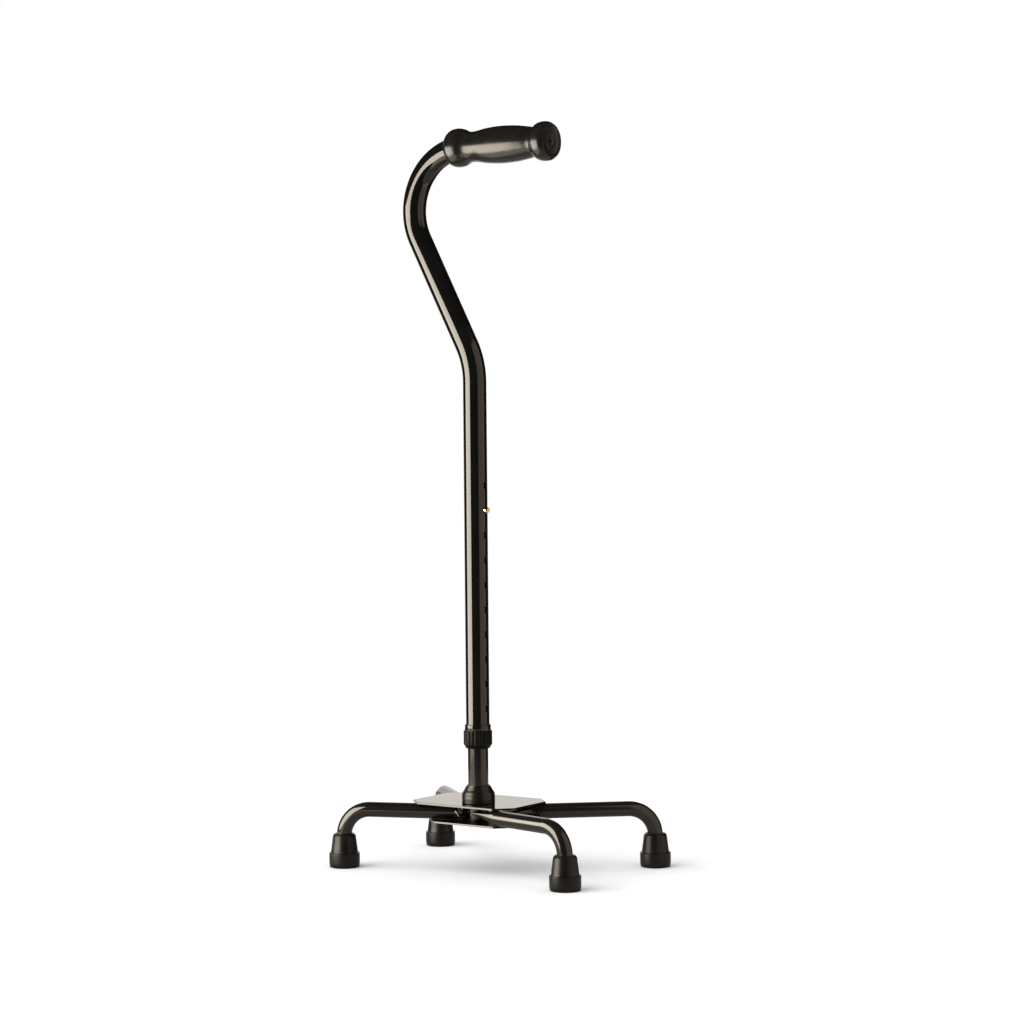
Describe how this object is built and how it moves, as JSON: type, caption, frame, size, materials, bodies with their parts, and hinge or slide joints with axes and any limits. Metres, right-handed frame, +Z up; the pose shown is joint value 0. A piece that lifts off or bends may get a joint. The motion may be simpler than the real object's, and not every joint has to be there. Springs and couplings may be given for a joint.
{
  "type": "quad walking cane",
  "caption": "Height-adjustable walking cane with an offset handle, a moulded grip and a low, wide base of splayed legs with rubber tips.",
  "frame": {"origin": "on the floor, at the centre of the rectangle through the four feet", "axes": "+Z up along the shaft, +X the way the handle points, -Y the side of the feet that the shaft stands nearer to"},
  "size_m": [0.3068, 0.2018, 0.7614],
  "materials": {
    "handle_tube": "gloss black anodised",
    "post_tube": "satin black anodised",
    "leg_tube": "semi-gloss black",
    "base_plate": "gloss black",
    "grip": "moulded vinyl with a soft gloss",
    "collar_plastic": "moulded, satin",
    "natural_plastic": "undyed nylon",
    "tip_rubber": "matte moulded rubber",
    "brass": "polished",
    "steel": "zinc plated"
  },
  "bodies": {
    "base": {"post_tube": "post_tube", "post_glide_cap": "natural_plastic", "post_insert": "steel", "post_bolt": "steel", "bolt_washer": "steel", "snap_clip": "steel", "base_boss": "collar_plastic", "top_plate": "base_plate", "bottom_plate": "base_plate", "leg_near_left": "leg_tube", "leg_near_right": "leg_tube", "leg_far_left": "leg_tube", "leg_far_right": "leg_tube", "tip_near_left": "tip_rubber", "tip_near_right": "tip_rubber", "tip_far_left": "tip_rubber", "tip_far_right": "tip_rubber", "tip_washer_near_left": "steel", "tip_washer_near_right": "steel", "tip_washer_far_left": "steel", "tip_washer_far_right": "steel"},
    "friction_ring": {"friction_ring": "natural_plastic"},
    "handle": {"handle_tube": "handle_tube", "handle_grip": "grip", "handle_tube_plug": "natural_plastic", "collar_sleeve": "collar_plastic"},
    "thrust_washer": {"thrust_washer": "steel"},
    "lock_nut": {"lock_nut": "collar_plastic"},
    "button": {"snap_button": "brass"}
  },
  "joints": [
    {"name": "height_slide", "type": "slide", "parent": "base", "child": "friction_ring", "axis": [0, 0, 1], "range_m": [-0.0254, 0.2032]},
    {"name": "base_swivel", "type": "hinge", "parent": "friction_ring", "child": "handle", "pos_m": [0, -0.037, 0.15], "axis": [0, 0, 1], "range_deg": [0, 180]},
    {"name": "nut_travel", "type": "slide", "parent": "handle", "child": "thrust_washer", "axis": [0, 0, -1], "range_m": [0, 0.002]},
    {"name": "lock_nut_turn", "type": "hinge", "parent": "thrust_washer", "child": "lock_nut", "pos_m": [0, -0.037, 0.136], "axis": [0, 0, -1], "range_deg": [0, 360]},
    {"name": "button_press", "type": "slide", "parent": "base", "child": "button", "axis": [-1, 0, 0], "range_m": [0, 0.0061], "stiffness_N_per_m": 2000, "springref_m": -0.002, "deforming": ["snap_clip", "snap_button"]}
  ],
  "couplings": [
    {"joint": "nut_travel", "follows": "lock_nut_turn", "m_per_rad": 0.000318}
  ]
}
